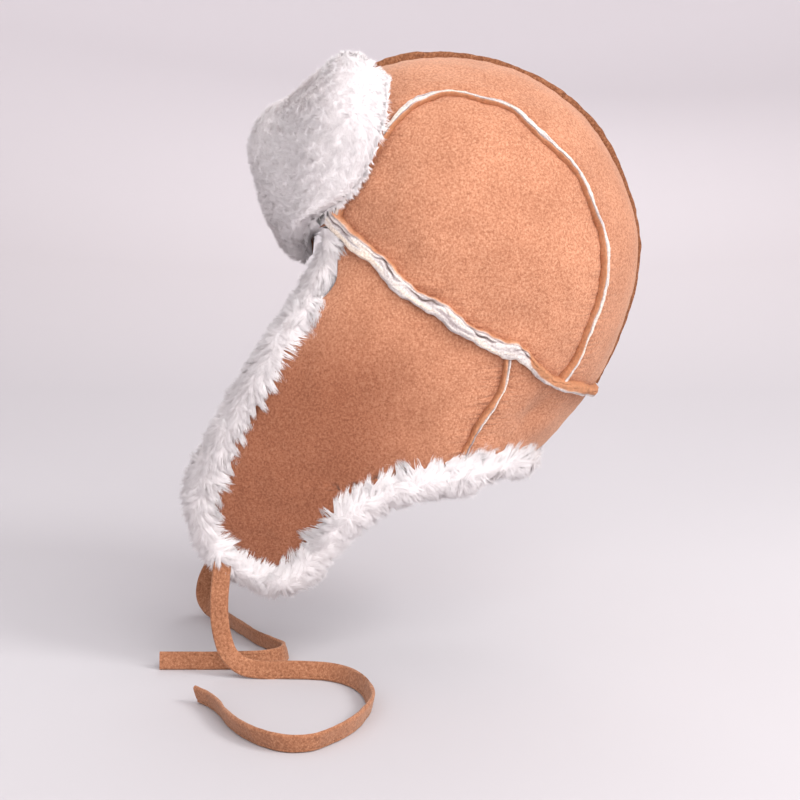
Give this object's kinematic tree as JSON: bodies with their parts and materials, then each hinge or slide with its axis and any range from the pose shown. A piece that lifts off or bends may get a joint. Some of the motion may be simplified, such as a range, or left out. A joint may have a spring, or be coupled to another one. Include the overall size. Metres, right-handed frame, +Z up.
{
  "type": "bomber hat",
  "caption": "Sheepskin bomber hat with raised seams, a turned-up wool front flap, wool-edged ear flaps and flat leather ties.",
  "frame": {"origin": "where the crown's lining sits on the top of the wearer's head, on the middle plane", "axes": "+Z up out of the crown, -Y towards the brow, +X towards the wearer's left"},
  "size_m": [0.3083, 0.2959, 0.377],
  "materials": {
    "suede": "soft napped suede",
    "dark_suede": "worn dark seam",
    "tie_suede": "soft napped suede",
    "wool": "clipped sheep's wool",
    "cut_edge": "clipped wool at the hide's cut edge"
  },
  "bodies": {
    "root": {"crown_side_left": "suede", "crown_side_right": "suede", "crown_top_left": "suede", "crown_top_right": "suede", "crown_welt_left": "cut_edge", "crown_welt_right": "cut_edge", "crown_ridge": "dark_suede", "base_welt": "cut_edge", "ear_flap_left": "suede", "ear_flap_right": "suede", "ear_welt_left": "cut_edge", "ear_welt_right": "cut_edge", "neck_panel": "suede", "front_flap": "wool", "fur_edge_left": "wool", "fur_edge_right": "wool", "fur_edge_neck": "wool", "tie_left": "tie_suede", "tie_right": "tie_suede"}
  },
  "joints": []
}
